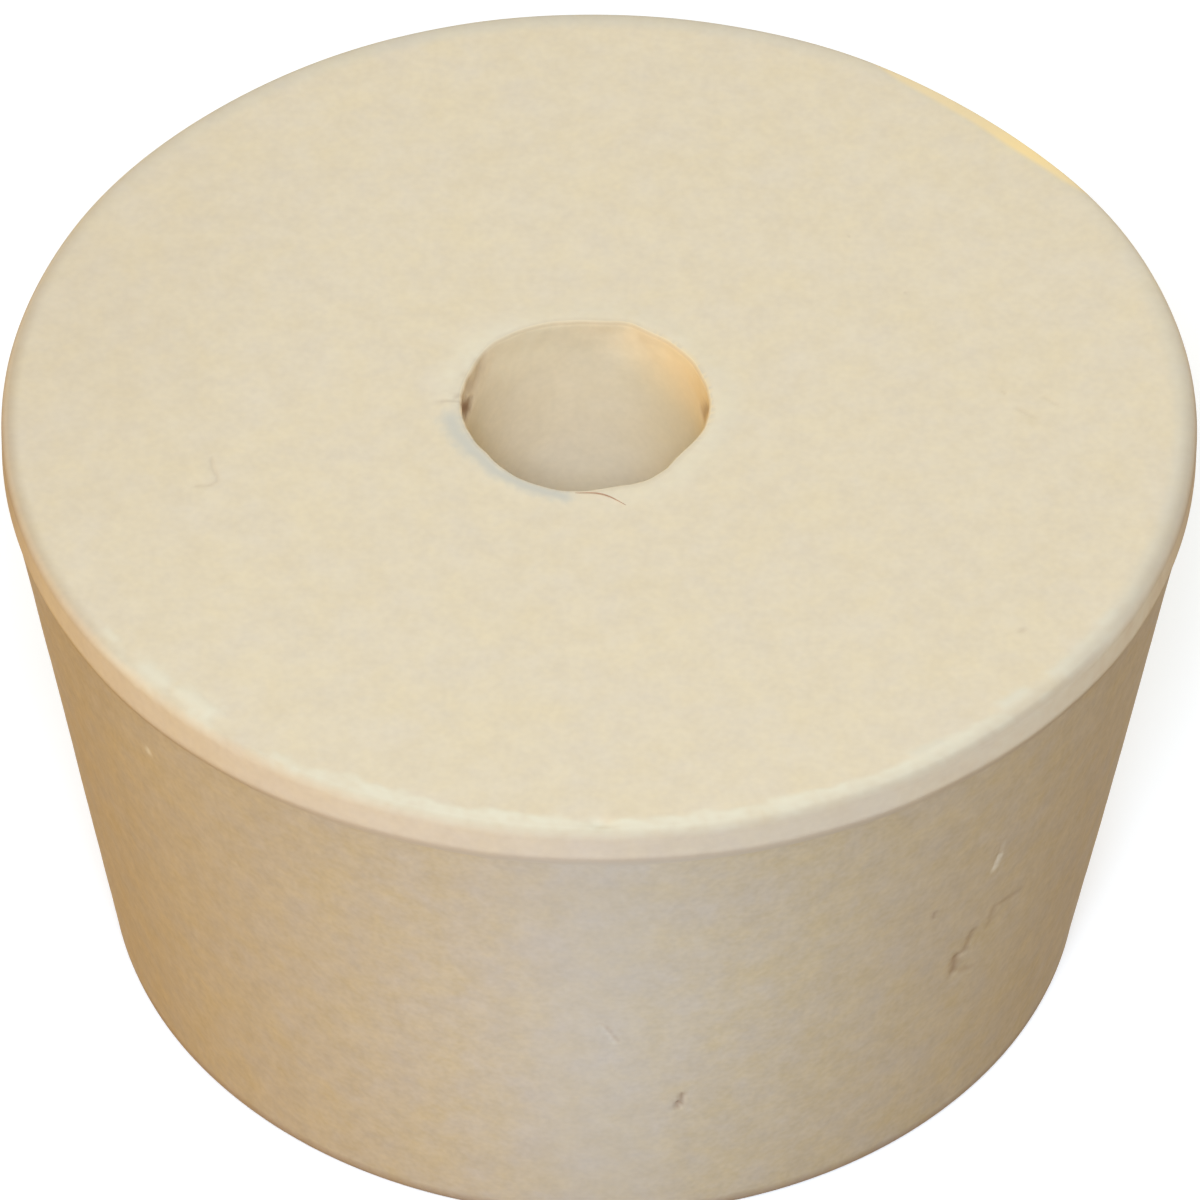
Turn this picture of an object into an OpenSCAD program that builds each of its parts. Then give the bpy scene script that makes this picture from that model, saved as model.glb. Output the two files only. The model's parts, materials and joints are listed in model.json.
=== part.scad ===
// Tapered rubber stopper with one hole, in millimetres.
// A single moulding that stands on its small end: the origin is the centre of the small end
// and +Z runs up the axis to the large end.

/* [Body] */
// Diameter of the large end, across the band
top_d = 46; // [39:0.5:60]
// Diameter of the small end, where the wall and the face would meet
bottom_d = 38; // [20:0.5:45]
// Height from the small end to the large end
height = 25; // [10:0.5:60]

/* [Band] */
// Height of the straight band round the large end
band_h = 1.4; // [0.5:0.1:6]
// Step in from the band to the tapered wall, at the mould's parting line
ledge = 0.08; // [0:0.01:0.5]

/* [Edges] */
// Rounding of the rim of the large end
top_edge_r = 0.35; // [0.05:0.05:1.2]
// Rounding of the rim of the small end
bottom_edge_r = 0.5; // [0.1:0.1:4]

/* [Hole] */
// Diameter of the hole for a glass tube or an airlock stem
hole_d = 9.5; // [3:0.5:18]
// How far the hole sits off the stopper's axis, to the right
hole_x = -0.55; // [-3:0.05:3]
// How far the hole sits off the stopper's axis, to the back
hole_y = 0.35; // [-3:0.05:3]

/* [Hidden] */
$fn = 96;

rubber_colour = [0.80, 0.72, 0.60];

band_r = top_d / 2;
band_z = height - band_h;
wall_top_r = band_r - ledge;
wall_bottom_r = bottom_d / 2;
// Lean of the wall away from the axis
wall_angle = atan2(wall_top_r - wall_bottom_r, band_z);

// The rim's rounding stays within the band that carries it
rim_r = min(top_edge_r, 0.9 * band_h);
// Distance from the small end's sharp corner to where its rounding meets the face, and the wall
foot_reach = bottom_edge_r * tan(45 - wall_angle / 2);
foot_centre = [wall_bottom_r - foot_reach, bottom_edge_r];
foot_on_wall = [
    wall_bottom_r + foot_reach * sin(wall_angle),
    foot_reach * cos(wall_angle)
];
rim_centre = [band_r - rim_r, height - rim_r];

// How far the hole's cutter runs past each face
hole_overrun = 1;

// Half of the section through the axis: small end, tapered wall, ledge, band, rim, large end
module half_section() {
    polygon([
        [0, 0],
        [foot_centre.x, 0],
        foot_centre,
        foot_on_wall,
        [wall_top_r, band_z],
        [band_r, band_z],
        [band_r, rim_centre.y],
        rim_centre,
        [rim_centre.x, height],
        [0, height]
    ]);
    translate(foot_centre)
        circle(r = bottom_edge_r);
    translate(rim_centre)
        circle(r = rim_r);
}

module hole() {
    translate([hole_x, hole_y, -hole_overrun])
        cylinder(d = hole_d, h = height + 2 * hole_overrun);
}

module stopper() {
    color(rubber_colour)
        difference() {
            rotate_extrude()
                half_section();
            hole();
        }
}

stopper();
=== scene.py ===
import json
import math
from collections import namedtuple

import bmesh
import bpy
import numpy as np
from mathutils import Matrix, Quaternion, Vector, noise


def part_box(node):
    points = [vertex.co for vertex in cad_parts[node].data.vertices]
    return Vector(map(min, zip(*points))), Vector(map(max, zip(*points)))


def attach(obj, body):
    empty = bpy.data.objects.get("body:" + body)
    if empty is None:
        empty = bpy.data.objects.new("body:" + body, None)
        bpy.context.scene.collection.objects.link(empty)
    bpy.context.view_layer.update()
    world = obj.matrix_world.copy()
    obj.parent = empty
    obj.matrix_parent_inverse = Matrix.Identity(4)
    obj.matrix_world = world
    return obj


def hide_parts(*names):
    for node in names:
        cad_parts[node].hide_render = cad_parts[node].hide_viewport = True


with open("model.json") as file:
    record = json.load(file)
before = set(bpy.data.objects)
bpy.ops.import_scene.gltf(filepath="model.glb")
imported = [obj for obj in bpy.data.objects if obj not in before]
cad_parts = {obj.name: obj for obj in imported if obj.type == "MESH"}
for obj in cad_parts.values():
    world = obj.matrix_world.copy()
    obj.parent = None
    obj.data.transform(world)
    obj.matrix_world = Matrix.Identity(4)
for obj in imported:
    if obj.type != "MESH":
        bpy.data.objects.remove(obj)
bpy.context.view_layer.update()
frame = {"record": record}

# A moulded rubber stopper with a hole for a tube, standing on its small end.
# Metres, +Z up, the front at -Y. An azimuth is in degrees about the axis: 0 is the right (+X)
# and -90 the front. The section's points run up the hole, out over the large end, down the
# band and the wall, and back in under the small end.

MM = 0.001

# --- Sizes from the frame ------------------------------------------------------------------

_, TOP_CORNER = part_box("stopper")
RIM_R = TOP_CORNER.x
HEIGHT = TOP_CORNER.z
TUBE_HOLE = next(m for m in frame["record"]["mounts"] if m["name"] == "tube_hole")
HOLE_X, HOLE_Y, _ = TUBE_HOLE["pos_m"]
HOLE_R = TUBE_HOLE["dims"]["r_mm"] * MM

# --- Sizes of the section -------------------------------------------------------------------

# These are the CAD's
SMALL_END_R = 19 * MM
BAND_HEIGHT = 1.4 * MM
LEDGE = 0.08 * MM
RIM_ROUND = 0.35 * MM
FOOT_ROUND = 0.5 * MM
# The hole's edges, sharp in the CAD, are only just broken
HOLE_ROUND = 0.12 * MM
# The step under the band, sharp in the CAD, is worn to a bevel this far above and below it
BEVEL_ABOVE, BEVEL_BELOW = 0.10 * MM, 0.36 * MM

LEDGE_Z = HEIGHT - BAND_HEIGHT
BEVEL_TOP, BEVEL_END = LEDGE_Z + BEVEL_ABOVE, LEDGE_Z - BEVEL_BELOW
WALL_TOP_R = RIM_R - LEDGE
WALL_LEAN = math.atan2(WALL_TOP_R - SMALL_END_R, LEDGE_Z)
FACE_EDGE_R = RIM_R - RIM_ROUND
LIP_R = HOLE_R + HOLE_ROUND

# --- The surface's mesh ---------------------------------------------------------------------

# Vertices in a ring: few round the hole, many round the rim
FEW, SOME, MANY = 240, 480, 960
# Material slots of the stopper's mesh
FACE, WALL, HOLE = 0, 1, 2
# Rings lie close together over this much of the hole, this much of the wall below the band,
# and from the first of these radii out over the large end, closer still from the second
FINE_HOLE, FINE_WALL = 3 * MM, 0.6 * MM
FINE_END_R, FINEST_END_R = 8 * MM, 21.2 * MM
# The small end's rings have fewer vertices inside this radius
PLAIN_END_R = 9 * MM
# Edges longer than this are split in two, this many times over, from each mark's middle to
# this reach past its width
LONG_EDGE, SPLITS, SPLIT_REACH = 0.16 * MM, 3, 0.25 * MM

# share is 1 for a ring about the hole's axis, 0 for one about the stopper's, and in between
# on the ends, where rings join the two
Ring = namedtuple("Ring", "share radius height count slot")


def wall_radius(height):
    """The radius of the plain wall at a height."""
    return SMALL_END_R + height * math.tan(WALL_LEAN)


def spread(start, end, steps):
    """The evenly spaced values after start, up to and including end."""
    return [start + (end - start) * i / steps for i in range(1, steps + 1)]


def arc(centre_r, centre_z, radius, start, end, steps):
    """The (radius, height) points after start along an arc between two angles in degrees."""
    turns = [math.radians(a) for a in spread(start, end, steps)]
    return [(centre_r + radius * math.cos(t), centre_z + radius * math.sin(t)) for t in turns]


def hole_rings():
    """Up the hole, from the small end's edge to the large end's."""
    outline = arc(LIP_R, HOLE_ROUND, HOLE_ROUND, 270, 180, steps=3)
    fine_start = HEIGHT - FINE_HOLE
    heights = spread(HOLE_ROUND, fine_start, steps=16)
    heights += spread(fine_start, HEIGHT - HOLE_ROUND, steps=18)
    outline += [(HOLE_R, height) for height in heights]
    outline += arc(LIP_R, HEIGHT - HOLE_ROUND, HOLE_ROUND, 180, 90, steps=4)
    return [Ring(1, radius, height, FEW, HOLE) for radius, height in outline]


def end_rings(radii, height, outer, count):
    """Rings across a flat end, whose centres move from the hole's axis to the stopper's."""
    return [Ring((outer - r) / (outer - LIP_R), r, height, count, FACE) for r in radii]


def large_end_rings():
    """Out over the large end."""
    inside = spread(LIP_R, FINE_END_R, steps=16)
    middle = spread(FINE_END_R, FINEST_END_R, steps=34)
    outside = spread(FINEST_END_R, FACE_EDGE_R, steps=13)
    rings = end_rings(inside, HEIGHT, FACE_EDGE_R, FEW)
    rings += end_rings(middle, HEIGHT, FACE_EDGE_R, SOME)
    return rings + end_rings(outside, HEIGHT, FACE_EDGE_R, MANY)


def band_rings():
    """Over the rounded rim, down the band and down the bevel under it to the wall."""
    outline = arc(FACE_EDGE_R, HEIGHT - RIM_ROUND, RIM_ROUND, 90, 0, steps=6)
    outline += [(RIM_R, height) for height in spread(HEIGHT - RIM_ROUND, BEVEL_TOP, steps=7)]
    radii = spread(RIM_R, wall_radius(BEVEL_END), steps=4)
    outline += zip(radii, spread(BEVEL_TOP, BEVEL_END, steps=4))
    return [Ring(0, radius, height, MANY, FACE) for radius, height in outline]


def wall_rings():
    """From the bevel down the tapered wall and round the small end's edge."""
    fine_end = LEDGE_Z - FINE_WALL
    # How far from the small end's sharp corner its rounding meets the end, and the wall
    reach = FOOT_ROUND * math.tan(math.pi / 4 - WALL_LEAN / 2)
    foot_top = reach * math.cos(WALL_LEAN)
    fine = spread(BEVEL_END, fine_end, steps=3)
    coarse = spread(fine_end, foot_top, steps=56)
    rings = [Ring(0, wall_radius(z), z, MANY, WALL) for z in fine]
    rings += [Ring(0, wall_radius(z), z, SOME, WALL) for z in coarse]
    start = -math.degrees(WALL_LEAN)
    foot = arc(SMALL_END_R - reach, FOOT_ROUND, FOOT_ROUND, start, -90, steps=5)
    return rings + [Ring(0, radius, height, SOME, WALL) for radius, height in foot]


def small_end_rings(outer):
    """Back in under the small end, up to the hole's first ring."""
    rings = end_rings(spread(outer, PLAIN_END_R, steps=9), 0, outer, SOME)
    return rings + end_rings(spread(PLAIN_END_R, LIP_R, steps=6), 0, outer, FEW)[:-1]


def section_rings():
    """All the rings, in order round the section, which closes on its first."""
    rings = hole_rings() + large_end_rings() + band_rings() + wall_rings()
    return rings + small_end_rings(rings[-1].radius)


def ring_points(ring):
    """One ring's vertices, counted from the right."""
    turns = [2 * math.pi * i / ring.count for i in range(ring.count)]
    x, y, r = ring.share * HOLE_X, ring.share * HOLE_Y, ring.radius
    return [(x + r * math.cos(t), y + r * math.sin(t), ring.height) for t in turns]


def joining_faces(first, count, other, other_count):
    """Faces between two rings, given each one's first vertex; one may have twice the other's."""
    if count > other_count:
        return [f[::-1] for f in joining_faces(other, other_count, first, count)]
    faces = []
    for i in range(count):
        a, b = first + i, first + (i + 1) % count
        if count == other_count:
            faces.append((a, b, other + (i + 1) % count, other + i))
        else:
            left, mid, right = (other + (2 * i + step) % other_count for step in range(3))
            faces += [(a, mid, left), (a, b, mid), (b, right, mid)]
    return faces


def plain_surface():
    """The closed surface before any relief, as a bmesh."""
    rings = section_rings()
    points, faces, slots, starts = [], [], [], []
    for ring in rings:
        starts.append(len(points))
        points += ring_points(ring)
    for i, ring in enumerate(rings):
        after = (i + 1) % len(rings)
        made = joining_faces(starts[i], ring.count, starts[after], rings[after].count)
        faces += made
        slots += [rings[after].slot] * len(made)
    mesh = bpy.data.meshes.new("plain")
    mesh.from_pydata(points, [], faces)
    mesh.polygons.foreach_set("material_index", slots)
    surface = bmesh.new()
    surface.from_mesh(mesh)
    bpy.data.meshes.remove(mesh)
    bmesh.ops.recalc_face_normals(surface, faces=surface.faces)
    return surface


# --- Marks ----------------------------------------------------------------------------------

# A mark is a stroke on the surface, in mm. Its points are (x, y) on the large end, or (azimuth,
# depth below the large end) on the wall or in the hole. depth is how far it cuts in, or stands
# out if it is negative. dark, pale and grey are how far it takes the colour each way.
Mark = namedtuple("Mark", "on points width depth dark pale grey", defaults=(0, 0, 0, 0))

MARKS = [
    # The torn notch at the hole's left edge, with the crack that runs on from it
    Mark("hole", [(177, 0.6), (167, 1.25), (162, 1.6)], 0.68, 0.08, 0.88),
    Mark("end", [(-5.3, 0.50), (-5.8, 0.50), (-6.3, 0.40)], 0.12, 0.04, 0.22),
    # Bruises on the hole's right and upper left edges
    Mark("hole", [(4, 0.6), (13, 1.2), (16, 1.7)], 0.50, 0.04, 0.50),
    Mark("hole", [(162, 0.5), (155, 0.9), (148, 0.5)], 0.70, 0.04, 0.24),
    # The grey patch along its lower left
    Mark("end", [(-5.75, -0.5), (-5.55, -1.3), (-4.95, -2.3)], 0.65, 0.02, grey=0.80),
    Mark("end", [(-4.95, -2.3), (-4.0, -3.5), (-2.6, -4.3), (-1.3, -4.75)], 0.50, 0.02, grey=0.80),
    # A hook-shaped scratch on the left of the large end
    Mark("end", [(-14.85, -2.8), (-14.85, -3.3), (-14.6, -3.8), (-14.65, -4.1), (-14.9, -4.3),
                 (-15.4, -4.35)], 0.14, 0.03, 0.13),
    # Faint scratches on its right
    Mark("end", [(16.0, 0.5), (16.8, -0.1)], 0.13, 0.03, 0.10),
    Mark("end", [(17.1, 1.1), (17.7, 0.6)], 0.13, 0.03, 0.08),
    Mark("end", [(15.5, 1.4), (15.6, 1.3)], 0.11, 0.02, 0.13),
    # Specks of dirt
    Mark("end", [(11.8, 6.9), (11.85, 6.9)], 0.09, 0.02, 0.20),
    Mark("end", [(9.6, 10.1), (9.65, 10.05)], 0.09, 0.02, 0.18),
    Mark("end", [(16.1, -11.8), (16.15, -11.7)], 0.20, 0.03, 0.16),
    # Chalky patches rubbed up along the rim, from its left to its right
    Mark("end", [(-18.6, -12.4), (-18.3, -12.8)], 0.40, -0.03, pale=0.60),
    Mark("end", [(-17.1, -14.4), (-16.5, -15.1)], 0.80, -0.06, pale=0.75),
    Mark("end", [(-15.6, -15.7), (-14.7, -16.6)], 0.75, -0.06, pale=0.70),
    Mark("end", [(-12.1, -19.0), (-11.6, -19.3)], 0.40, -0.04, pale=0.70),
    Mark("end", [(12.0, -18.5), (12.9, -17.9)], 0.42, -0.03, pale=0.55, grey=0.20),
    Mark("end", [(15.4, -15.8), (16.1, -15.1)], 0.50, -0.04, pale=0.70, grey=0.20),
    Mark("end", [(17.3, -14.1), (17.9, -13.4)], 0.45, -0.04, pale=0.60, grey=0.25),
    Mark("end", [(19.2, -11.3), (19.6, -10.8)], 0.40, -0.03, pale=0.55, grey=0.25),
    Mark("end", [(20.2, -10.1), (20.5, -9.5)], 0.35, -0.03, pale=0.50, grey=0.25),
    # Chips and scrapes on the wall
    Mark("wall", [(-139.0, 3.9), (-139.0, 4.1)], 0.22, 0.03, pale=1.0),
    Mark("wall", [(-128.6, 7.6), (-128.4, 7.8)], 0.12, 0.02, pale=0.3),
    Mark("wall", [(-45.05, 9.25), (-44.6, 8.7)], 0.26, 0.05, pale=0.95),
    Mark("wall", [(-44.6, 8.7), (-44.4, 7.8)], 0.14, 0.05, pale=0.45),
    Mark("wall", [(-46.2, 12.9), (-46.8, 13.9)], 0.34, 0.06, 0.34),
    Mark("wall", [(-48.1, 14.0), (-48.0, 14.9)], 0.36, 0.08, 0.50),
    Mark("wall", [(-46.9, 15.1), (-45.0, 15.5)], 0.30, 0.03, 0.16),
    Mark("wall", [(-39.2, 12.5), (-43.4, 12.2), (-43.6, 13.2)], 0.28, 0.03, 0.18),
    Mark("wall", [(-52.8, 9.9), (-52.8, 10.15)], 0.22, 0.04, 0.34),
    Mark("wall", [(-89.2, 12.1), (-87.7, 13.25)], 0.10, 0.04, pale=0.30),
    Mark("wall", [(-88.7, 12.1), (-87.4, 13.1)], 0.10, 0.0, 0.16),
    Mark("wall", [(-80.6, 17.7), (-80.1, 17.0)], 0.13, 0.10, 0.55),
    Mark("wall", [(-80.7, 17.85), (-80.5, 17.6)], 0.20, 0.10, 0.60),
]


def wall_point(azimuth, below):
    """The place on the wall at an azimuth in degrees and a distance in mm below the large end."""
    z = HEIGHT - below * MM
    radius = wall_radius(z)
    turn = math.radians(azimuth)
    return Vector((radius * math.cos(turn), radius * math.sin(turn), z))


def hole_point(azimuth, below):
    """The place on the hole's wall at an azimuth about its axis and mm below the large end."""
    turn = math.radians(azimuth)
    x, y = HOLE_X + HOLE_R * math.cos(turn), HOLE_Y + HOLE_R * math.sin(turn)
    return Vector((x, y, HEIGHT - below * MM))


def mark_path(mark):
    """The mark's stroke as points in the frame."""
    if mark.on == "wall":
        return [wall_point(*p) for p in mark.points]
    if mark.on == "hole":
        return [hole_point(*p) for p in mark.points]
    return [Vector((x * MM, y * MM, HEIGHT)) for x, y in mark.points]


def distance_to_path(points, path):
    """Each point's distance to a stroke."""
    nearest = np.full(len(points), np.inf)
    for start, end in zip(path, path[1:]):
        a, along = np.array(start), np.array(end - start)
        share = np.clip((points - a) @ along / (along @ along), 0, 1)
        offset = points - a - share[:, None] * along
        nearest = np.minimum(nearest, np.linalg.norm(offset, axis=1))
    return nearest


def vertex_places(surface):
    """The surface's points, as an array."""
    return np.array([v.co[:] for v in surface.verts])


def near_marks(points):
    """The indices of the points that lie near any mark."""
    close = np.zeros(len(points), bool)
    for mark in MARKS:
        close |= distance_to_path(points, mark_path(mark)) < mark.width * MM + SPLIT_REACH
    return set(np.flatnonzero(close).tolist())


def refine_round_marks(surface):
    """Splits the edges near the marks until they are short enough to hold their shapes."""
    for _ in range(SPLITS):
        close = near_marks(vertex_places(surface))
        long_edges = [
            e for e in surface.edges
            if (e.verts[0].index in close or e.verts[1].index in close)
            and e.calc_length() > LONG_EDGE
        ]
        bmesh.ops.subdivide_edges(surface, edges=long_edges, cuts=1, use_grid_fill=True)
        surface.verts.index_update()


# --- Noise, ramps and hills -----------------------------------------------------------------

# Smooth noise: how much it adds, the size of its lumps, and a seed that sets it apart
Noise = namedtuple("Noise", "amount size seed")

END_SWELL = Noise(0.020 * MM, 6 * MM, 1)
END_RIPPLE = Noise(0.005 * MM, 1.3 * MM, 2)
HOLE_RAGS = Noise(0.05 * MM, 0.8 * MM, 3)
LIP_LUMPS = Noise(0.5, 1.6 * MM, 4)
RIM_WANDER = Noise(0.030 * MM, 5 * MM, 5)
LEDGE_WANDER = Noise(0.04 * MM, 4 * MM, 6)
BEAD_WAVES = Noise(0.30 * MM, 2.5 * MM, 7)
BEAD_FRAYS = Noise(0.25 * MM, 0.7 * MM, 8)
WALL_SWELL = Noise(0.04 * MM, 9 * MM, 9)
WALL_PEBBLES = Noise(0.010 * MM, 1.4 * MM, 10)
MARK_RAGS = Noise(0.5, 0.25 * MM, 11)
CHALK_PATCHES = Noise(0.5, 1.1 * MM, 12)
CHALK_GRAIN = Noise(0.5, 0.35 * MM, 13)
BEAD_GAPS = Noise(2, 1.5 * MM, 15)
BEAD_LUMPS = Noise(0.8, 0.6 * MM, 16)
SEAM_PATCHES = Noise(0.5, 2 * MM, 17)
SHAVED_WANDER = Noise(0.35, 3 * MM, 18)

# How far apart two seeds lie in the noise, in lumps
SEED_SHIFT = Vector((31.7, 12.3, 5.9))


def lumps(points, kind):
    """Smooth noise at each point, mostly within its amount of 0."""
    shift = SEED_SHIFT * kind.seed
    return kind.amount * np.array([noise.noise(Vector(p) / kind.size + shift) for p in points])


def ramp(value, start, end):
    """0 up to start, 1 from end on, and smooth in between. It falls if end is the lower."""
    t = np.clip((value - start) / (end - start), 0, 1)
    return t * t * (3 - 2 * t)


def hill(distance, width):
    """1 at no distance, falling smoothly to nothing past about twice the width."""
    return np.exp(-((distance / width) ** 2))


def turn_from(azimuths, centre):
    """Degrees from a centre azimuth, between -180 and 180."""
    return (azimuths - centre + 180) % 360 - 180


def near(azimuths, centre, width):
    """A hill about a centre azimuth, with its width in degrees."""
    return hill(turn_from(azimuths, centre), width)


def hills(azimuths, table):
    """The sum of the hills in a table of (centre azimuth, width in degrees, height)."""
    return sum(height * near(azimuths, centre, width) for centre, width, height in table)


# --- Relief ---------------------------------------------------------------------------------

UP = np.array([0.0, 0.0, 1.0])

# A point this little below the large end counts as on it, and one this little off the start
# of an edge's rounding as on the rounding
END_SLACK, EDGE_SLACK = 0.02 * MM, 0.01 * MM


class Places:
    """The plain surface's points, and the measures that the relief is worked out from."""

    def __init__(self, points, normals):
        self.points, self.normals = points, normals
        x, y, self.z = points.T
        self.way_round = points * [1, 1, 0]
        self.radius = np.hypot(x, y)
        self.azimuth = np.degrees(np.arctan2(y, x))
        self.from_hole = np.hypot(x - HOLE_X, y - HOLE_Y)
        self.hole_azimuth = np.degrees(np.arctan2(y - HOLE_Y, x - HOLE_X))
        self.outward = self.way_round / self.radius[:, None]
        self.out_of_hole = np.stack([x - HOLE_X, y - HOLE_Y, 0 * x], axis=1)
        self.out_of_hole /= self.from_hole[:, None]
        # How far each point belongs to the large end, to the outside, and there to the wall
        # and to the band
        self.on_end = (self.z > HEIGHT - END_SLACK) * 1.0
        self.outside = (self.radius > FACE_EDGE_R - EDGE_SLACK) | (self.z < LEDGE_Z)
        self.outside &= self.radius > SMALL_END_R - FOOT_ROUND
        self.on_wall = self.outside * ramp(self.z, BEVEL_TOP, BEVEL_END)
        below_end = self.outside * ramp(self.z, HEIGHT, HEIGHT - RIM_ROUND)
        self.on_band = below_end * (1 - self.on_wall)
        # 1 where the surface faces half up and half sideways, 0 where it faces only one way
        up = np.clip(normals[:, 2], 0, 1)
        self.turned = 2 * up * np.sqrt(1 - up**2)


# The large end's unevenness is full from this far off the hole's edge out to this radius
FLAT_LIP, FLAT_RIM_R = 1 * MM, 21 * MM


def uneven_end(at):
    """The large end is flat only to a few hundredths of a millimetre."""
    rise = lumps(at.points, END_SWELL) + lumps(at.points, END_RIPPLE)
    inside = ramp(at.from_hole, LIP_R, LIP_R + FLAT_LIP) * ramp(at.radius, RIM_R, FLAT_RIM_R)
    return (rise * inside * at.on_end)[:, None] * UP


# Where the hole's edge stands out from a true circle: azimuth, width in degrees, mm outward
HOLE_EDGE_BULGES = [
    (-34, 16, -0.28), (-75, 12, -0.16), (-145, 20, -0.15), (72, 9, 0.10), (90, 16, -0.10),
    (134, 16, 0.12),
]
# How far that reaches down the hole, and out over the large end
RAGGED_DEPTH, RAGGED_REACH = 2.5 * MM, 0.8 * MM


def ragged_hole(at):
    """The hole's edge wanders from its circle, less and less down the hole."""
    out = lumps(at.points, HOLE_RAGS) + MM * hills(at.hole_azimuth, HOLE_EDGE_BULGES)
    near_top = ramp(at.z, HEIGHT - RAGGED_DEPTH, HEIGHT)
    near_edge = hill(np.maximum(at.from_hole - HOLE_R, 0), RAGGED_REACH)
    return (out * near_top * near_edge)[:, None] * at.out_of_hole


# The swollen lip's height, how far from the hole's edge its crest lies, and its width
LIP_HEIGHT, LIP_CREST, LIP_WIDTH = 0.045 * MM, 0.35 * MM, 0.45 * MM


def hole_lip(at):
    """A low swollen lip stands round the hole."""
    height = LIP_HEIGHT * (1 + lumps(at.points, LIP_LUMPS))
    ridge = hill(at.from_hole - LIP_R - LIP_CREST, LIP_WIDTH) * at.on_end
    return (height * ridge)[:, None] * UP


# Where the rim stands out from a true circle: azimuth, width in degrees, mm outward
RIM_BULGES = [(49, 13, -0.18), (110, 12, 0.03), (132, 10, -0.05)]
# Where the band's lower edge leaves its level: azimuth, width in degrees, mm upward
LEDGE_BULGES = [(-136, 20, -0.27), (-88, 22, 0.03), (-28, 12, -0.14)]
# The rim's wandering fades out this far below the band and at this radius on the large end,
# and that of the band's lower edge is a hill this wide up and down the side
RIM_WANDER_DEPTH, RIM_WANDER_R, LEDGE_WANDER_REACH = 3 * MM, 20 * MM, 0.5 * MM


def wavy_rim(at):
    """The rim and band wander a little from round, and the band's lower edge from level."""
    out = lumps(at.way_round, RIM_WANDER) + MM * hills(at.azimuth, RIM_BULGES)
    out *= ramp(at.z, LEDGE_Z - RIM_WANDER_DEPTH, LEDGE_Z)
    out *= ramp(at.radius, RIM_WANDER_R, FACE_EDGE_R)
    level = lumps(at.way_round, LEDGE_WANDER) + MM * hills(at.azimuth, LEDGE_BULGES)
    level *= hill(at.z - LEDGE_Z, LEDGE_WANDER_REACH) * at.outside
    return out[:, None] * at.outward + level[:, None] * UP


# The rubbed front of the rim: its centre azimuth, the half angle that it covers, and over how
# much of that it fades
RUBBED_CENTRE, RUBBED_HALF, RUBBED_FADE = -88, 68, 22


def rubbed(at):
    """How rubbed the rim is, from 0 at the back to 1 at the front."""
    off_centre = abs(turn_from(at.azimuth, RUBBED_CENTRE))
    return ramp(off_centre, RUBBED_HALF, RUBBED_HALF - RUBBED_FADE)


# The bead of rubbed-up rubber: its width, how far in from the rim it starts, how softly its
# inner edge fades each way, and how far below the large end it starts and is full
BEAD_WIDTH, BEAD_START = 0.80 * MM, 0.15 * MM
BEAD_INSIDE, BEAD_OUTSIDE = 0.18 * MM, 0.22 * MM
BEAD_BELOW, BEAD_FULL = 0.35 * MM, 0.05 * MM
# It is whole about this azimuth. From the first to the second of these angles off it, it
# thins by this much and breaks up into patches
BEAD_CENTRE, BEAD_WHOLE, BEAD_BROKEN, BEAD_THINNING = -84, 28, 42, 0.60 * MM
# How far it stands up, and how far outward it stands for each step up
BEAD_HEIGHT, BEAD_LEAN = 0.018 * MM, 0.3


def bead(at):
    """The ragged strip of rubbed-up rubber along the front of the rim, from 0 to 1."""
    width = BEAD_WIDTH + lumps(at.points, BEAD_WAVES) + lumps(at.points, BEAD_FRAYS)
    broken = ramp(abs(turn_from(at.azimuth, BEAD_CENTRE)), BEAD_WHOLE, BEAD_BROKEN)
    width -= BEAD_THINNING * broken * (1 - lumps(at.points, BEAD_GAPS))
    inward = RIM_R - BEAD_START - at.radius
    strip = ramp(width - inward, -BEAD_INSIDE, BEAD_OUTSIDE)
    strip *= ramp(at.z, HEIGHT - BEAD_BELOW, HEIGHT - BEAD_FULL)
    return strip * rubbed(at)


def rim_bead(at):
    """The bead stands a little proud, in lumps."""
    size = BEAD_HEIGHT * (1 + lumps(at.points, BEAD_LUMPS))
    return (size * bead(at))[:, None] * (UP + BEAD_LEAN * at.outward)


# The chip at the very front: where it is, how wide, how far it reaches in and how deep
CHIP_AZIMUTH, CHIP_R = -89.4, 22.35 * MM
CHIP_WIDTH, CHIP_REACH, CHIP_DEPTH = 0.45 * MM, 0.3 * MM, 0.14 * MM


def rim_chip(at):
    """A small bite out of the front of the rim."""
    along = np.radians(turn_from(at.azimuth, CHIP_AZIMUTH)) * RIM_R
    bite = hill(along, CHIP_WIDTH) * hill(at.radius - CHIP_R, CHIP_REACH)
    return (-CHIP_DEPTH * bite * at.on_end)[:, None] * UP


# The shaved strip at the back right of the rim: centre azimuth, half angle, width of the cut,
# and how far in from the rim that width ends
SHAVED_CENTRE, SHAVED_HALF, SHAVED_WIDTH, SHAVED_INSET = 48, 14.5, 0.64 * MM, 0.24 * MM
# The cut's slope, and how far above the large end it starts, so that its edge is clean
SHAVED_SLOPE, SHAVED_LIFT = math.tan(math.radians(8)), 0.005 * MM
# How far out from the cut's edge the raw colour starts and is full. It ends with the rim's
# rounding, and is full from this depth below the large end up
RAW_START, RAW_FULL, RAW_DEPTH = -0.05 * MM, 0.25 * MM, 0.2 * MM
# Where the cut is the freshest, as azimuth and width in degrees, and how raw it is elsewhere
RAWEST, LEAST_RAW = (42, 5), 0.6


def shaved_width(at):
    """How wide the shaved cut is at each point's azimuth."""
    share = np.clip(abs(turn_from(at.azimuth, SHAVED_CENTRE)) / SHAVED_HALF, 0, 1)
    return SHAVED_WIDTH * (1 - share**4) * (1 + lumps(at.way_round, SHAVED_WANDER))


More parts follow.
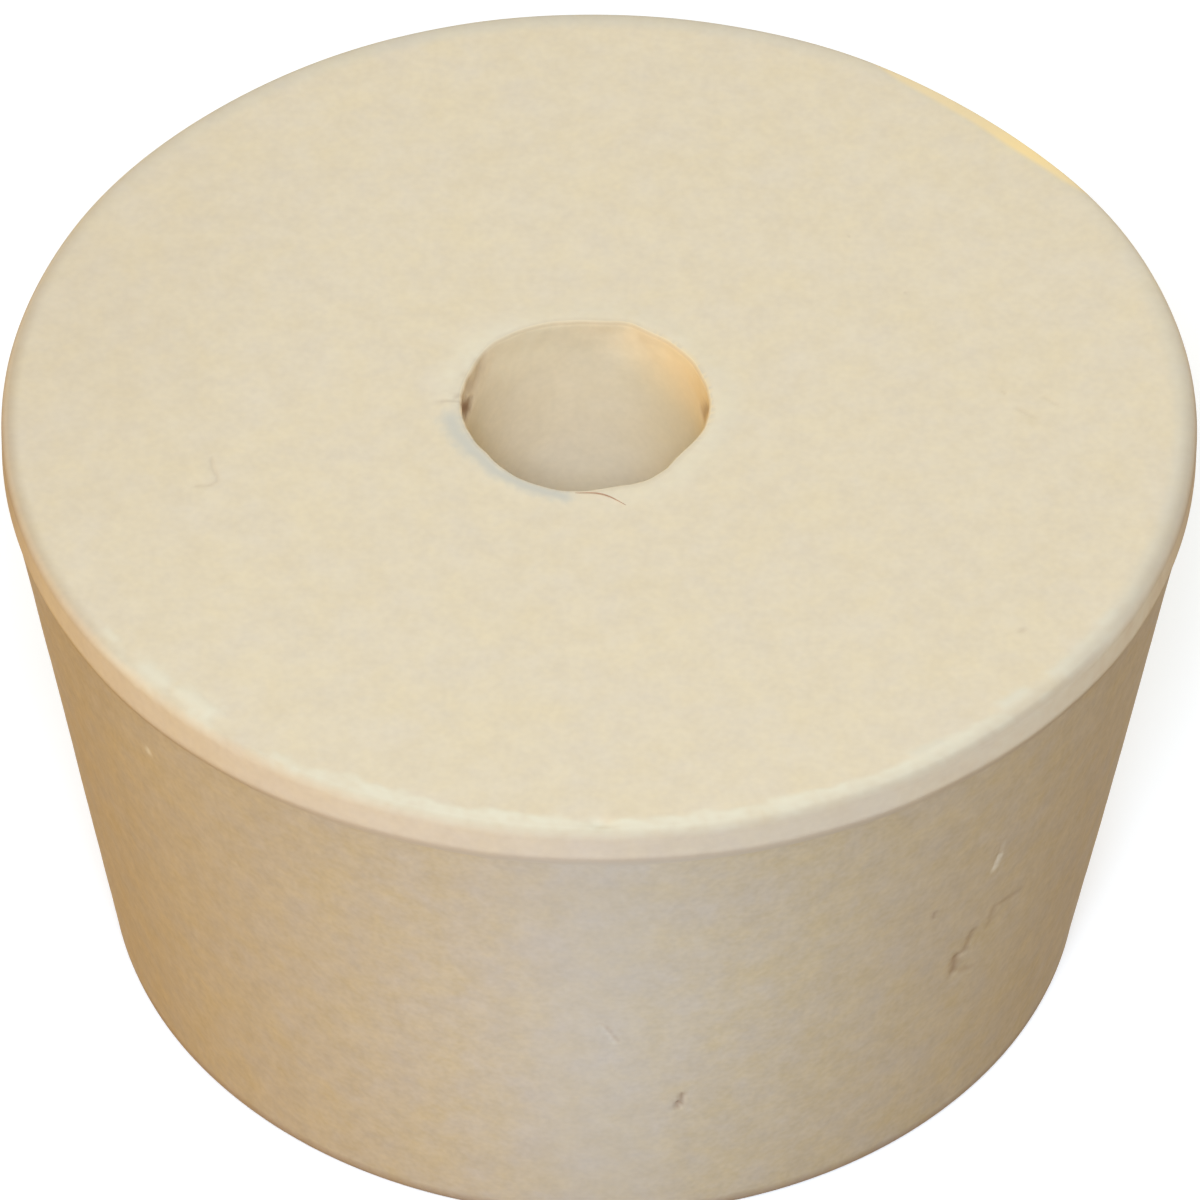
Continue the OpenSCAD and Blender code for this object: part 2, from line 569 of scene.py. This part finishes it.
def shaved_strip(at, points):
    """Cuts the moved points off at a slant along the shaved strip, and says how raw it is."""
    width = shaved_width(at)
    past_start = np.hypot(points[:, 0], points[:, 1]) - (RIM_R - SHAVED_INSET - width)
    limit = HEIGHT + SHAVED_LIFT - past_start * SHAVED_SLOPE
    cuttable = (width > 0) & ((at.on_end > 0) | at.outside)
    cut = np.maximum(points[:, 2] - limit, 0) * cuttable
    raw = ramp(past_start, RAW_START, RAW_FULL) * (width > 0)
    raw *= LEAST_RAW + (1 - LEAST_RAW) * near(at.azimuth, *RAWEST)
    raw *= ramp(at.z, HEIGHT - RIM_ROUND, HEIGHT - RAW_DEPTH)
    return -cut[:, None] * UP, raw


# The wall's unevenness fades out over this much at its top and foot
WALL_FADE = 1 * MM


def uneven_wall(at):
    """The moulded wall is a little out of round and faintly pebbled."""
    depth = lumps(at.points, WALL_SWELL) + lumps(at.points, WALL_PEBBLES)
    depth *= ramp(at.z, LEDGE_Z, LEDGE_Z - WALL_FADE) * ramp(at.z, 0, WALL_FADE) * at.outside
    return depth[:, None] * at.outward


# The width of a mark's hill, as a share of the mark's width
MARK_CORE = 0.6


def cut_marks(at):
    """The marks' grooves, and how dark, pale and grey they leave the surface."""
    groove = np.zeros(len(at.points))
    tones = {"dark": groove.copy(), "pale": groove.copy(), "grey": groove.copy()}
    rough = 1 + lumps(at.points, MARK_RAGS)
    for mark in MARKS:
        distance = distance_to_path(at.points, mark_path(mark)) * rough
        core = hill(distance, MARK_CORE * mark.width * MM)
        groove += mark.depth * MM * core
        for tone, values in tones.items():
            np.maximum(values, getattr(mark, tone) * core, out=values)
    return -groove[:, None] * at.normals, tones


# --- Masks ----------------------------------------------------------------------------------

# The masks say, from 0 to 1, where the rubber is tinted. Named parts of the way round are
# (centre azimuth, width in degrees), and those of the hole are about its own axis.
FRONT_RIGHT, FRONT_LEFT = (-30, 32), (-150, 32)

# The patches' mean, and the strength of the band's painted light and of the chalk round the hole
CHALK_LEVEL, BAND_PAINTED_LIGHT, LIP_CHALK = 0.80, 0.8, 0.7
# The bead is this much less chalky at the front right, and this much in this part at its left
LESS_AT_RIGHT, LESS_AT_LEFT, BEAD_LEFT = 0.3, 0.35, (-140, 25)
# The azimuths where the band's painted light ends at the right and where it is full
BAND_LIGHT_END, BAND_LIGHT_FULL = -8, -28
# The least chalk on the lip, how much more there is at its back left, and what share of that
# there is at its right
LIP_LEAST, LIP_MORE = 0.3, 0.5
LIP_BACK_LEFT, LIP_RIGHT, LIP_RIGHT_SHARE = (150, 30), (-10, 45), 0.5
# How far from the hole's edge that chalk is strongest, and how wide it reaches
LIP_CHALK_CREST, LIP_CHALK_WIDTH = 0.3 * MM, 0.7 * MM


def rim_chalk_and_band_light(at):
    """The chalk on the bead, and painted light on the right of the band."""
    right, left = near(at.azimuth, *FRONT_RIGHT), near(at.azimuth, *BEAD_LEFT)
    on_bead = bead(at) * (1 - LESS_AT_RIGHT * right - LESS_AT_LEFT * left)
    on_band = BAND_PAINTED_LIGHT * at.on_band * right * ramp(at.azimuth, BAND_LIGHT_END, BAND_LIGHT_FULL)
    return np.maximum(on_bead, on_band)


def chalky_lip(at):
    """The chalk round the hole, thickest at its back left."""
    at_left = near(at.hole_azimuth, *LIP_BACK_LEFT)
    at_right = LIP_RIGHT_SHARE * near(at.hole_azimuth, *LIP_RIGHT)
    thick = LIP_LEAST + LIP_MORE * np.maximum(at_left, at_right)
    round_hole = hill(at.from_hole - LIP_R - LIP_CHALK_CREST, LIP_CHALK_WIDTH)
    return LIP_CHALK * round_hole * thick * at.on_end


def chalk_and_painted_light(at):
    """How pale each point is from chalk and from the band's painted light, in patches."""
    patchy = CHALK_LEVEL + lumps(at.points, CHALK_PATCHES) + lumps(at.points, CHALK_GRAIN)
    return np.clip(np.maximum(rim_chalk_and_band_light(at), chalky_lip(at)) * patchy, 0, 1)


# The painted sheen down the wall's front: centre azimuth and width in degrees, and its level
PAINTED_SHEEN, PAINTED_SHEEN_LEVEL = (-90, 9), 0.30


def wall_painted_sheen(at):
    """A painted sheen down the front of the wall, greyer where the light would shine off it."""
    return PAINTED_SHEEN_LEVEL * at.on_wall * near(at.azimuth, *PAINTED_SHEEN)


# How far the strip's surroundings reach round the rim, in half angles of the strip
SHAVED_BESIDE = 1.4


def beside_shaved(at):
    """How near each point's azimuth is to the shaved strip's, where the rim's edge takes less
    painted shade and less grey.
    """
    return near(at.azimuth, SHAVED_CENTRE, SHAVED_BESIDE * SHAVED_HALF)


# The rim's smear: its parts and level, the radii where it starts and is full, how far it
# reaches down, and how much less there is beside the shaved strip
SMEAR_BACK, SMEAR_RIGHT, SMEAR_LEVEL = (95, 50), (-12, 38), 0.38
SMEAR_START_R, SMEAR_FULL_R, SMEAR_DEPTH = 21.8 * MM, 22.5 * MM, 0.5 * MM
SMEAR_SHAVED_OFF = 0.6


def rim_smear(at):
    """The grey that the large end turns to near the back and the right of its rim."""
    back_and_right = near(at.azimuth, *SMEAR_BACK) + near(at.azimuth, *SMEAR_RIGHT)
    near_rim = ramp(at.radius, SMEAR_START_R, SMEAR_FULL_R)
    near_rim *= ramp(at.z, HEIGHT - SMEAR_DEPTH, HEIGHT)
    left_over = 1 - SMEAR_SHAVED_OFF * beside_shaved(at)
    return SMEAR_LEVEL * np.minimum(back_and_right, 1) * near_rim * left_over


# The painted shade at the small end's edge: its level, and the heights where it ends and is full
FOOT_SHADE_LEVEL, FOOT_SHADE_END, FOOT_SHADE_FULL = 0.45, 0.65 * MM, 0.35 * MM


def foot_painted_shade(at):
    """A thin line of painted shade round the small end's edge, where it meets the table."""
    return FOOT_SHADE_LEVEL * ramp(at.z, FOOT_SHADE_END, FOOT_SHADE_FULL) * at.outside


# The lit part of the hole's wall: its centre, and the angles off it where it ends and is full
LIT_CENTRE, LIT_END, LIT_FULL = 18, 62, 20
# How far the painted light takes it towards the colour of a fresh cut
LIT_LEVEL = 0.32


def in_the_light(at):
    """The hole's right wall, where the light that falls in is painted as a warmer colour."""
    in_hole = (at.from_hole < LIP_R) & (at.z > 0)
    off_centre = abs(turn_from(at.hole_azimuth, LIT_CENTRE))
    return in_hole * ramp(off_centre, LIT_END, LIT_FULL)


# How much painted shade darkens the rim's rounding, and how much more at the front right and less
# at the left.
# It has to be at least this far above the step
ROUNDING_LEVEL, ROUNDING_SIDES, ABOVE_STEP = 0.60, 0.25, 0.5 * MM


def shaded_rounding(at):
    """Painted shade on the rim's rounding along its front, where it faces the light."""
    level = ROUNDING_LEVEL + ROUNDING_SIDES * near(at.azimuth, *FRONT_RIGHT)
    level -= ROUNDING_SIDES * near(at.azimuth, *FRONT_LEFT)
    above = at.outside * (at.z > LEDGE_Z + ABOVE_STEP)
    return at.turned * above * level * rubbed(at)


# How much painted shade darkens the rim's edge all round, how much more away from the
# rubbed front, and where it is darkest: azimuth, width in degrees, amount
EDGE_LEVEL, EDGE_BACK = 0.10, 0.15
EDGE_SHADED = [(-175, 28, 0.50), (-10, 20, 0.40), (-50, 22, 0.22)]
# The radii where that starts and is full, how far below the large end it starts and is full,
# and how much less there is beside the shaved strip
EDGE_START_R, EDGE_FULL_R = 22.25 * MM, 22.85 * MM
EDGE_BELOW, EDGE_FULL = 0.48 * MM, 0.22 * MM
EDGE_SHAVED_OFF = 0.8


def shaded_rim_edge(at):
    """Painted shade on the rim's edge, darkest at the left and the right."""
    level = EDGE_LEVEL + EDGE_BACK * (1 - rubbed(at)) + hills(at.azimuth, EDGE_SHADED)
    edge = ramp(at.radius, EDGE_START_R, EDGE_FULL_R)
    edge *= ramp(at.z, HEIGHT - EDGE_BELOW, HEIGHT - EDGE_FULL)
    return level * edge * (1 - EDGE_SHAVED_OFF * beside_shaved(at))


# The painted shade under the band's step, along the seam: how far below the step it lies, its
# width and its level
SEAM_BELOW, SEAM_WIDTH, SEAM_LEVEL = 0.1 * MM, 0.15 * MM, 0.30


def shaded_seam(at):
    """Painted shade under the band's step, along the seam, in patches at the front right."""
    seam = hill(at.z - LEDGE_Z + SEAM_BELOW, SEAM_WIDTH) * (1 + lumps(at.points, SEAM_PATCHES))
    return SEAM_LEVEL * seam * at.outside * near(at.azimuth, *FRONT_RIGHT)


# Where the wall is plain, and how painted shade darkens it away from there: amount, and the
# angles off WALL_FRONT where that starts and is full
WALL_FRONT = -92
WALL_SHADED = [(0.30, 42, 82), (0.15, 68, 84)]
# The angles off WALL_FRONT where that is gone again, and where it starts to go
PLAIN_BACK, FADING_BACK = 150, 95
WALL_RIGHT, WALL_RIGHT_LEVEL = (-50, 20), 0.12


def shaded_wall(at):
    """Painted shade on the wall, darker towards its sides and a little at the front right."""
    from_front = abs(turn_from(at.azimuth, WALL_FRONT))
    level = sum(amount * ramp(from_front, start, full) for amount, start, full in WALL_SHADED)
    level *= ramp(from_front, PLAIN_BACK, FADING_BACK)
    level += WALL_RIGHT_LEVEL * near(at.azimuth, *WALL_RIGHT)
    return level * at.on_wall


# How much painted shade darkens the hole's edge where it faces the light, and the shares of
# that: at its sides, what facing the front adds and facing the back takes off, and the least
HOLE_EDGE_LEVEL = 0.8
EDGE_SIDEWAYS, EDGE_FACING, EDGE_LEAST = 0.55, 0.5, 0.1
# How much more shade is painted at its right
HOLE_RIGHT, HOLE_RIGHT_MORE = (0, 40), 0.7
# How much painted shade the top of the hole's wall takes, and the depths where it starts and is
# full
HOLE_TOP_LEVEL, HOLE_TOP_START, HOLE_TOP_FULL = 0.16, 1.6 * MM, 0.4 * MM


def shaded_hole(at):
    """Painted shade on the hole's edge, and on its wall's top where no light falls in."""
    in_hole = (at.from_hole < LIP_R + EDGE_SLACK) * 1.0
    facing = np.clip(EDGE_SIDEWAYS - EDGE_FACING * at.normals[:, 1], EDGE_LEAST, 1)
    edge = HOLE_EDGE_LEVEL * at.turned * (at.z > HEIGHT - HOLE_ROUND) * facing
    edge *= 1 + HOLE_RIGHT_MORE * near(at.hole_azimuth, *HOLE_RIGHT)
    top = HOLE_TOP_LEVEL * ramp(at.z, HEIGHT - HOLE_TOP_START, HEIGHT - HOLE_TOP_FULL)
    return (edge + top * (1 - in_the_light(at))) * in_hole


# The darker left of the large end, its level, and the radii where it starts and is full
END_LEFT, END_LEFT_LEVEL = (165, 35), 0.16
END_LEFT_START_R, END_LEFT_FULL_R = 10 * MM, 21 * MM


def darker_end_left(at):
    """The large end, darker towards its left."""
    outer = ramp(at.radius, END_LEFT_START_R, END_LEFT_FULL_R)
    return END_LEFT_LEVEL * near(at.azimuth, *END_LEFT) * outer * at.on_end


# Where painted shade darkens the band most: azimuth, width in degrees, amount
BAND_SHADED = [(-85, 27, 0.24), (-172, 9, 0.60), (-3, 12, 0.45)]


def painted_shade(at):
    """How much each point is darkened, mostly by painted shade: 0 is as moulded."""
    total = np.maximum(shaded_rounding(at), shaded_rim_edge(at))
    total += at.on_band * hills(at.azimuth, BAND_SHADED)
    total += shaded_seam(at) + shaded_wall(at) + shaded_hole(at) + darker_end_left(at)
    return np.clip(total, 0, 1)


# --- The stopper ----------------------------------------------------------------------------


def shape_surface(surface):
    """Moves the plain surface's points to their relief and gives the masks for its colour."""
    surface.normal_update()
    points = vertex_places(surface)
    at = Places(points, np.array([v.normal[:] for v in surface.verts]))
    grooves, masks = cut_marks(at)
    moved = points + grooves
    for feature in (uneven_end, ragged_hole, hole_lip, wavy_rim, rim_bead, rim_chip, uneven_wall):
        moved += feature(at)
    shaved, raw = shaved_strip(at, moved)
    moved += shaved
    for vertex, place in zip(surface.verts, moved):
        vertex.co = place
    # Pale: the marks' chips, the chalk, and painted light on the band's front right
    masks["pale"] = np.maximum(masks["pale"], chalk_and_painted_light(at))
    # Grey: the marks' grey, the painted sheen down the wall's front, and the grey near the rim
    masks["grey"] = np.maximum(masks["grey"], wall_painted_sheen(at) + rim_smear(at)) * (1 - raw)
    # Dark: the marks' dirt, and painted shade round the small end's edge
    masks["dark"] = np.maximum(masks["dark"], foot_painted_shade(at))
    # Cut: the shaved strip's raw rubber, and painted warm light on the hole's right wall
    masks["cut"] = np.maximum(raw, LIT_LEVEL * in_the_light(at))
    # Painted shade, kept off the shaved strip
    masks["painted_shade"] = painted_shade(at) * (1 - raw)
    masks["tan"] = at.on_wall
    return masks


def add_object(name, data):
    """A new object in the scene, for a mesh, a lamp or a camera."""
    thing = bpy.data.objects.new(name, data)
    bpy.context.scene.collection.objects.link(thing)
    return thing


def make_body():
    """The stopper, which stands for the CAD solid."""
    surface = plain_surface()
    refine_round_marks(surface)
    masks = shape_surface(surface)
    mesh = bpy.data.meshes.new("stopper_body")
    surface.to_mesh(mesh)
    surface.free()
    for name, values in masks.items():
        mesh.attributes.new(name, "FLOAT", "POINT").data.foreach_set("value", values)
    mesh.polygons.foreach_set("use_smooth", [True] * len(mesh.polygons))
    # In the order of the slots FACE, WALL and HOLE
    mesh.materials.append(rubber("end_rubber", END_RUBBER))
    mesh.materials.append(rubber("wall_rubber", WALL_RUBBER))
    mesh.materials.append(rubber("hole_rubber", HOLE_RUBBER))
    body = add_object("stopper_body", mesh)
    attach(body, "root")
    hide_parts("stopper")


# --- The fibre ------------------------------------------------------------------------------

# A brown hair that lies in front of the hole: (x, y) and height above the large end, in mm
FIBRE_PATH = [(-0.9, -4.62, 0.10), (-0.1, -4.68, 0.16), (0.45, -4.85, 0.13), (1.05, -5.22, 0.06)]
# Its radius at the middle, and at its ends as a share of that
FIBRE_R, FIBRE_TAPER = 0.026 * MM, 0.25
FIBRE_SIDES, FIBRE_STEPS = 8, 24


def smooth_path(points, steps):
    """Points along a smooth curve through the given ones."""
    points = [Vector(p) for p in points]
    points = [2 * points[0] - points[1]] + points + [2 * points[-1] - points[-2]]
    path = []
    for i in range(steps + 1):
        place = i / steps * (len(points) - 3)
        first = min(int(place), len(points) - 4)
        t = place - first
        a, b, c, d = points[first:first + 4]
        bend = 2 * b + (c - a) * t + (2 * a - 5 * b + 4 * c - d) * t**2
        path.append((bend + (3 * b - a - 3 * c + d) * t**3) / 2)
    return path


def fibre_points():
    """Rings of points round the hair's path, smaller towards its ends."""
    path = [p * MM + Vector((0, 0, HEIGHT)) for p in smooth_path(FIBRE_PATH, FIBRE_STEPS)]
    points = []
    for i, centre in enumerate(path):
        along = (path[min(i + 1, FIBRE_STEPS)] - path[max(i - 1, 0)]).normalized()
        side = along.cross(Vector((0, 0, 1))).normalized()
        over = side.cross(along)
        fullness = math.sin(math.pi * (i + 0.5) / (FIBRE_STEPS + 1))
        radius = FIBRE_R * (FIBRE_TAPER + (1 - FIBRE_TAPER) * fullness)
        for k in range(FIBRE_SIDES):
            turn = 2 * math.pi * k / FIBRE_SIDES
            points.append(centre + radius * (math.cos(turn) * side + math.sin(turn) * over))
    return points


def fibre_faces():
    """The faces between those rings, and a cap at each end."""
    faces = []
    for i in range(FIBRE_STEPS):
        faces += joining_faces(i * FIBRE_SIDES, FIBRE_SIDES, (i + 1) * FIBRE_SIDES, FIBRE_SIDES)
    last = FIBRE_STEPS * FIBRE_SIDES
    faces.append(tuple(range(FIBRE_SIDES))[::-1])
    faces.append(tuple(range(last, last + FIBRE_SIDES)))
    return faces


def make_fibre():
    """A thin tapered tube, so it reads as a hair and not as a drawn line."""
    mesh = bpy.data.meshes.new("fibre")
    mesh.from_pydata(fibre_points(), [], fibre_faces())
    mesh.polygons.foreach_set("use_smooth", [True] * len(mesh.polygons))
    mesh.materials.append(fibre_material())
    fibre = add_object("fibre", mesh)
    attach(fibre, "root")


# --- Materials ------------------------------------------------------------------------------


class Nodes:
    """Adds nodes to a node tree. Each call gives back the new node's output socket."""

    def __init__(self, tree):
        self.tree = tree
        tree.nodes.clear()

    def add(self, kind, output=0, inputs=(), **settings):
        """A node with its settings, and its inputs linked or set to plain values."""
        node = self.tree.nodes.new(kind)
        for name, value in settings.items():
            setattr(node, name, value)
        for key, value in dict(inputs).items():
            if isinstance(value, bpy.types.NodeSocket):
                self.tree.links.new(value, node.inputs[key])
            else:
                node.inputs[key].default_value = value
        return node.outputs[output] if node.outputs else node

    def math(self, operation, first, second=0.0):
        """Arithmetic on two values."""
        return self.add("ShaderNodeMath", operation=operation, inputs={0: first, 1: second})

    def mix(self, factor, first, second, blend="MIX"):
        """A colour mix; factor 0 gives first."""
        return self.add(
            "ShaderNodeMix", output=2, data_type="RGBA", blend_type=blend,
            inputs={0: factor, 6: first, 7: second},
        )

    def where(self):
        """The object's own coordinates."""
        return self.add("ShaderNodeTexCoord", output=3)

    def mask(self, name):
        """A mask kept on the mesh's points."""
        return self.add("ShaderNodeAttribute", output=2, attribute_name=name)

    def stretched(self, value):
        """Noise mostly lies from 0.3 to 0.7, and this stretches it to fill 0 to 1."""
        return self.add("ShaderNodeMapRange", inputs={0: value, 1: 0.3, 2: 0.7})

    def noise(self, where, size, detail=2.0, roughness=0.5):
        """Noise from 0 to 1 in lumps about `size` across."""
        return self.add(
            "ShaderNodeTexNoise",
            inputs={"Vector": where, "Scale": 1 / size, "Detail": detail, "Roughness": roughness},
        )


def new_material(name):
    """An empty material, and the nodes to fill it with."""
    material = bpy.data.materials.new(name)
    material.use_nodes = True
    return material, Nodes(material.node_tree)


def rgba(colour):
    """A colour with the fourth number that Blender's sockets want."""
    return (*colour, 1.0)


# What each mask turns the rubber to, in this order, and what the painted-shade mask
# multiplies it by
SHADES = [
    ("tan", (0.645, 0.54, 0.38)),
    ("cut", (1.0, 0.745, 0.37)),
    ("pale", (0.845, 0.768, 0.60)),
    ("grey", (0.60, 0.57, 0.50)),
    ("dark", (0.26, 0.125, 0.06)),
]
# Painted shade multiplies the colour by this
SHADE_TINT = (0.69, 0.63, 0.58)

# The hair's two colours and the length over which they change
FIBRE_DARK, FIBRE_LIGHT, FIBRE_DRIFT = (0.38, 0.19, 0.11), (0.55, 0.34, 0.22), 0.5 * MM


def fibre_material():
    """Brown hair, a little uneven in colour along its length."""
    material, nodes = new_material("fibre")
    uneven = nodes.noise(nodes.where(), FIBRE_DRIFT)
    colour = nodes.mix(uneven, rgba(FIBRE_DARK), rgba(FIBRE_LIGHT))
    shader = nodes.add("ShaderNodeBsdfPrincipled", inputs={"Base Color": colour, "Roughness": 0.5})
    nodes.add("ShaderNodeOutputMaterial", inputs={"Surface": shader})
    return material


# A rubber's settings: light and dark are the colours that it is mottled between, grain and
# drift the sizes of the fine mottling and of the slow changes in tint, tint how strong those
# are, and bump the height of the fine grain. bevelled is whether it turns tan down the bevel
Rubber = namedtuple("Rubber", "light dark grain drift tint bump roughness specular bevelled")

# The mottling's patches are this many times its grain's size, and the grain is this share
PATCH_SCALE, GRAIN_SHARE = 4, 0.35
# How much a tint of 1 would take off red, green and blue where it is coolest and warmest
COOLEST, WARMEST = (0.25, 0.2, 0), (0, 0.2, 1)


def tinted(amount, loss):
    """White, less an amount of a loss in red, green and blue."""
    return rgba([1 - amount * part for part in loss])


def mottled(nodes, kind, grain):
    """The rubber's own colour: light and dark patches, and slow changes in tint."""
    patches = nodes.noise(nodes.where(), PATCH_SCALE * kind.grain, detail=2.0, roughness=0.6)
    fine = nodes.math("MULTIPLY", grain, GRAIN_SHARE)
    broad = nodes.math("MULTIPLY", patches, 1 - GRAIN_SHARE)
    mottle = nodes.stretched(nodes.math("ADD", fine, broad))
    colour = nodes.mix(mottle, rgba(kind.dark), rgba(kind.light))
    warmth = nodes.stretched(nodes.noise(nodes.where(), kind.drift, detail=3.0, roughness=0.7))
    tint = nodes.mix(warmth, tinted(kind.tint, COOLEST), tinted(kind.tint, WARMEST))
    return nodes.mix(1.0, colour, tint, "MULTIPLY")


def rubber(name, kind):
    """Mottled rubber, coloured further by the masks."""
    material, nodes = new_material(name)
    grain = nodes.noise(nodes.where(), kind.grain, detail=1.0)
    colour = mottled(nodes, kind, grain)
    for mask, shade in SHADES:
        if mask != "tan" or kind.bevelled:
            colour = nodes.mix(nodes.mask(mask), colour, rgba(shade))
    # Painted shade darkens the colour where its mask is set
    colour = nodes.mix(nodes.mask("painted_shade"), colour, rgba(SHADE_TINT), "MULTIPLY")
    normal = nodes.add(
        "ShaderNodeBump",
        inputs={"Strength": 1.0, "Distance": kind.bump, "Height": grain},
    )
    shader = nodes.add(
        "ShaderNodeBsdfPrincipled",
        inputs={
            "Base Color": colour, "Normal": normal,
            "Roughness": kind.roughness, "Specular IOR Level": kind.specular,
        },
    )
    nodes.add("ShaderNodeOutputMaterial", inputs={"Surface": shader})
    return material


# The powdery cream rubber of the ends and the band
END_RUBBER = Rubber(
    light=(0.82, 0.70, 0.525), dark=(0.765, 0.647, 0.487), grain=0.28 * MM,
    drift=2.0 * MM, tint=0.08, bump=0.006 * MM, roughness=0.85, specular=0.15,
    bevelled=True,
)
# The grained tan rubber of the moulded wall
WALL_RUBBER = Rubber(
    light=(0.69, 0.58, 0.415), dark=(0.60, 0.495, 0.34), grain=0.24 * MM,
    drift=1.6 * MM, tint=0.18, bump=0.006 * MM, roughness=0.65, specular=0.12,
    bevelled=False,
)
# The smooth rubber inside the hole, lighter than the ends' as painted light against its shade
HOLE_RUBBER = Rubber(
    light=(0.925, 0.785, 0.56), dark=(0.865, 0.73, 0.515), grain=0.25 * MM,
    drift=3 * MM, tint=0.05, bump=0.004 * MM, roughness=0.65, specular=0.15,
    bevelled=False,
)


# --- Stage ----------------------------------------------------------------------------------

# A lamp's level is how bright a white surface facing it would render. Angles are in degrees,
# distance and size in metres
Lamp = namedtuple("Lamp", "name azimuth elevation distance size level colour")

LAMPS = [
    Lamp("key", -93, 49, 0.9, 0.3, 1.0, (0.69, 0.81, 1.0)),
    Lamp("low_front", -88, -4, 0.045, 0.016, 0.13, (0.47, 0.62, 1.0)),
    Lamp("warm_left", -167, 15, 0.8, 0.3, 0.30, (1.0, 0.55, 0.08)),
    Lamp("right", 18, 16, 0.8, 0.3, 0.19, (0.94, 0.82, 0.88)),
    Lamp("back_left", 115, 8, 0.8, 0.4, 0.40, (0.55, 0.75, 1.0)),
    Lamp("back_right", 62, 8, 0.8, 0.4, 0.20, (0.9, 0.8, 0.7)),
]
SKY_COLOUR = (0.28, 0.26, 0.14)
# The table is brown to the light that it throws back on the stopper, and shows as white
TABLE_COLOUR = (0.30, 0.18, 0.08)
# Its white under camera rays, and the glow that brings it up to the background's
FLOOR_WHITE = 0.55
FLOOR_GLOW = 0.58
FLOOR_SIZE = 6.0
# A hair below the small end, so that the two don't lie in one plane
FLOOR_Z = -0.02 * MM


def toward(azimuth, elevation):
    """The direction from the stopper at an azimuth and elevation in degrees."""
    a, e = math.radians(azimuth), math.radians(elevation)
    return Vector((math.cos(a) * math.cos(e), math.sin(a) * math.cos(e), math.sin(e)))


def add_lamp(lamp):
    """A soft round lamp, unseen itself, that points at the stopper's middle."""
    data = bpy.data.lights.new(lamp.name, "AREA")
    data.shape = "DISK"
    data.size = lamp.size
    data.color = lamp.colour
    data.energy = lamp.level * (math.pi * lamp.distance) ** 2
    light = add_object(lamp.name, data)
    light.visible_camera = False
    away = toward(lamp.azimuth, lamp.elevation)
    light.location = Vector((0, 0, HEIGHT / 2)) + away * lamp.distance
    light.rotation_mode = "QUATERNION"
    light.rotation_quaternion = (-away).to_track_quat("-Z", "Y")


def seen_plainly(nodes):
    """1 for camera, glossy and transmission rays, which see a plain white background."""
    path = nodes.add("ShaderNodeLightPath").node
    seen = nodes.math("MAXIMUM", path.outputs["Is Camera Ray"], path.outputs["Is Glossy Ray"])
    return nodes.math("MAXIMUM", seen, path.outputs["Is Transmission Ray"])


def add_sky():
    """A world that is seen as plain white, and lights with its own colour."""
    world = bpy.data.worlds.new("sky")
    world.use_nodes = True
    nodes = Nodes(world.node_tree)
    lit = nodes.add("ShaderNodeBackground", inputs={"Color": rgba(SKY_COLOUR), "Strength": 1.0})
    white = nodes.add("ShaderNodeBackground", inputs={"Color": rgba((1, 1, 1)), "Strength": 1.0})
    both = nodes.add("ShaderNodeMixShader", inputs={0: seen_plainly(nodes), 1: lit, 2: white})
    nodes.add("ShaderNodeOutputWorld", inputs={"Surface": both})
    bpy.context.scene.world = world


def floor_material():
    """White, with a plain glow under camera rays that leaves only the shadow showing."""
    material, nodes = new_material("floor")
    seen = seen_plainly(nodes)
    colour = nodes.mix(seen, rgba(TABLE_COLOUR), rgba((FLOOR_WHITE,) * 3))
    matt = nodes.add("ShaderNodeBsdfDiffuse", inputs={"Color": colour})
    level = nodes.math("MULTIPLY", seen, FLOOR_GLOW)
    glow = nodes.add("ShaderNodeEmission", inputs={"Strength": level})
    both = nodes.add("ShaderNodeAddShader", inputs={0: matt, 1: glow})
    nodes.add("ShaderNodeOutputMaterial", inputs={"Surface": both})
    return material


def add_floor():
    """The white table that the stopper stands on."""
    half = FLOOR_SIZE / 2
    mesh = bpy.data.meshes.new("floor")
    corners = [(-half, -half), (half, -half), (half, half), (-half, half)]
    mesh.from_pydata([(x, y, FLOOR_Z) for x, y in corners], [], [(0, 1, 2, 3)])
    mesh.materials.append(floor_material())
    floor = add_object("floor", mesh)


# Fitted to the stopper's outline. The distance is from the middle of the large end, and the
# lens and the sensor are in mm
CAMERA_DISTANCE = 0.600
CAMERA_ELEVATION = 43.53
CAMERA_ROLL = math.radians(0.64)
CAMERA_AIM = Vector((0.1 * MM, 0, 14.9 * MM))
CAMERA_LENS, CAMERA_SENSOR = 467.9, 36
CAMERA_CLIP = 0.01


def add_camera():
    """A long lens from the front, looking down on the large end."""
    data = bpy.data.cameras.new("camera")
    data.lens = CAMERA_LENS
    data.sensor_width = CAMERA_SENSOR
    data.clip_start = CAMERA_CLIP
    camera = add_object("camera", data)
    camera.location = Vector((0, 0, HEIGHT)) + toward(-90, CAMERA_ELEVATION) * CAMERA_DISTANCE
    aim = (CAMERA_AIM - camera.location).to_track_quat("-Z", "Y")
    camera.rotation_mode = "QUATERNION"
    camera.rotation_quaternion = aim @ Quaternion((0, 0, 1), CAMERA_ROLL)
    bpy.context.scene.camera = camera


make_body()
make_fibre()
add_floor()
add_sky()
for lamp in LAMPS:
    add_lamp(lamp)
add_camera()
bpy.context.scene.view_settings.view_transform = "Standard"
